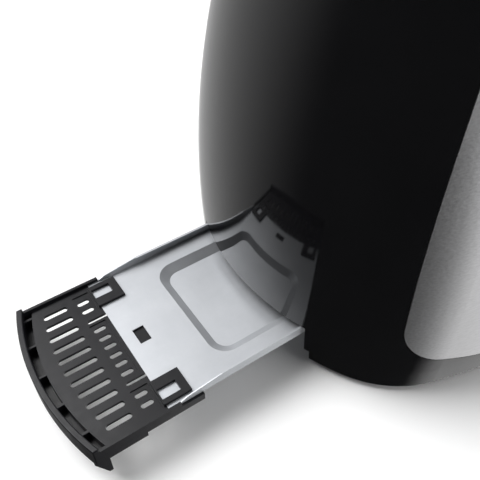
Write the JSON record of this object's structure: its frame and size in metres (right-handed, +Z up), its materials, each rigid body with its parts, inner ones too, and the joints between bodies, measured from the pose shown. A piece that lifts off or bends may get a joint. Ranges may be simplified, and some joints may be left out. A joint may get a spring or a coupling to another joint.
{
  "type": "pop up toaster",
  "caption": "Pop-up toaster with a black bowed body, steel side panels and a crumb tray pulled out of its end.",
  "frame": {"origin": "on the table surface, under the middle of the whole toaster in plan, from the drawn-out crumb tray's front to the lever's knob; the body's own middle is at X 0.0387", "axes": "+Z up; -X is the end that the crumb tray slides out of, +X the end with the lever and controls; -Y is the near long side"},
  "size_m": [0.4234, 0.2, 0.2008],
  "materials": {
    "black_gloss": "high gloss",
    "black_satin": "satin",
    "tray_plastic": "semi-gloss, finely textured",
    "tray_sheet": "pale satin coated sheet",
    "brushed_steel": "brushed along the body",
    "polished_steel": "polished",
    "zinc_steel": "dull plated sheet",
    "dark_sheet": "matt black",
    "foot_rubber": "matt",
    "mica": "mottled mica sheet",
    "heater_alloy": "oxidised ribbon",
    "dark_iron": "laminated iron",
    "copper_winding": "enamelled copper",
    "circuit_board": "solder mask",
    "white_plastic": "matt",
    "clear_lens": "amber, clear"
  },
  "bodies": {
    "toaster_body": {"main_housing": "black_gloss", "top_cover": "black_gloss", "side_panel_near": "brushed_steel", "side_panel_far": "brushed_steel", "control_fascia": "black_satin", "slot_trim_near": "polished_steel", "slot_trim_far": "polished_steel", "base_plate": "dark_sheet", "foot_tray_end_near": "foot_rubber", "foot_tray_end_far": "foot_rubber", "foot_lever_end_near": "foot_rubber", "foot_lever_end_far": "foot_rubber", "tray_rail_near": "black_satin", "tray_rail_far": "black_satin", "screws": "zinc_steel", "chassis_plate_lever_end": "zinc_steel", "chassis_plate_tray_end": "zinc_steel", "chassis_top_plate": "zinc_steel", "side_reflector_near": "zinc_steel", "side_reflector_far": "zinc_steel", "crumb_chute_near": "zinc_steel", "crumb_chute_far": "zinc_steel", "heater_card_outer_near": "mica", "heater_card_outer_far": "mica", "heater_card_inner_near": "mica", "heater_card_inner_far": "mica", "heater_ribbon_outer_near": "heater_alloy", "heater_ribbon_outer_far": "heater_alloy", "heater_ribbon_inner_near": "heater_alloy", "heater_ribbon_inner_far": "heater_alloy", "guide_rod_near": "polished_steel", "guide_rod_far": "polished_steel", "magnet_core": "dark_iron", "magnet_coil": "copper_winding", "lift_spring": "zinc_steel", "control_board": "circuit_board", "board_holder": "white_plastic", "button_switches": "black_satin", "indicator_lenses": "clear_lens", "potentiometer": "zinc_steel", "main_switch": "white_plastic", "terminal_block": "white_plastic", "cord_gland": "black_satin"},
    "crumb_tray": {"tray_front": "tray_plastic", "tray_pan": "tray_sheet"},
    "carriage": {"carriage_bracket": "zinc_steel", "lever_stem": "zinc_steel", "lever_knob": "black_satin", "keeper_plate": "dark_iron", "bread_rack_near": "zinc_steel", "bread_rack_far": "zinc_steel"},
    "guide_outer_near": {"bread_guide_outer_near": "polished_steel"},
    "guide_inner_near": {"bread_guide_inner_near": "polished_steel"},
    "guide_outer_far": {"bread_guide_outer_far": "polished_steel"},
    "guide_inner_far": {"bread_guide_inner_far": "polished_steel"},
    "dial": {"browning_dial": "black_satin", "dial_shaft": "white_plastic"},
    "cancel_button": {"button_cancel": "black_satin"},
    "bagel_button": {"button_bagel": "black_satin"},
    "defrost_button": {"button_defrost": "black_satin"}
  },
  "joints": [
    {"name": "crumb_tray_slide", "type": "slide", "parent": "toaster_body", "child": "crumb_tray", "axis": [-1, 0, 0], "range_m": [-0.1, 0.13]},
    {"name": "carriage_slide", "type": "slide", "parent": "toaster_body", "child": "carriage", "axis": [0, 0, -1], "range_m": [-0.008, 0.078], "stiffness_N_per_m": 60, "springref_m": -0.025, "deforming": ["lift_spring"]},
    {"name": "guide_outer_near_tilt", "type": "hinge", "parent": "toaster_body", "child": "guide_outer_near", "pos_m": [0.0387, -0.0465, 0.044], "axis": [1, 0, 0], "range_deg": [-4.02, 0.44]},
    {"name": "guide_inner_near_tilt", "type": "hinge", "parent": "toaster_body", "child": "guide_inner_near", "pos_m": [0.0387, -0.0135, 0.044], "axis": [1, 0, 0], "range_deg": [-0.44, 4.02]},
    {"name": "guide_inner_far_tilt", "type": "hinge", "parent": "toaster_body", "child": "guide_inner_far", "pos_m": [0.0387, 0.0135, 0.044], "axis": [1, 0, 0], "range_deg": [-4.02, 0.44]},
    {"name": "guide_outer_far_tilt", "type": "hinge", "parent": "toaster_body", "child": "guide_outer_far", "pos_m": [0.0387, 0.0465, 0.044], "axis": [1, 0, 0], "range_deg": [-0.44, 4.02]},
    {"name": "dial_turn", "type": "hinge", "parent": "toaster_body", "child": "dial", "pos_m": [0.1887, 0, 0.044], "axis": [1, 0, 0], "range_deg": [-135, 135]},
    {"name": "cancel_press", "type": "slide", "parent": "toaster_body", "child": "cancel_button", "axis": [-1, 0, 0], "range_m": [0, 0.002], "stiffness_N_per_m": 400, "springref_m": -0.0005},
    {"name": "bagel_press", "type": "slide", "parent": "toaster_body", "child": "bagel_button", "axis": [-1, 0, 0], "range_m": [0, 0.002], "stiffness_N_per_m": 400, "springref_m": -0.0005},
    {"name": "defrost_press", "type": "slide", "parent": "toaster_body", "child": "defrost_button", "axis": [-1, 0, 0], "range_m": [0, 0.002], "stiffness_N_per_m": 400, "springref_m": -0.0005}
  ],
  "couplings": [
    {"joint": "guide_outer_near_tilt", "follows": "carriage_slide", "rad_per_m": -0.89504},
    {"joint": "guide_inner_near_tilt", "follows": "carriage_slide", "rad_per_m": 0.89504},
    {"joint": "guide_inner_far_tilt", "follows": "carriage_slide", "rad_per_m": -0.89504},
    {"joint": "guide_outer_far_tilt", "follows": "carriage_slide", "rad_per_m": 0.89504}
  ]
}
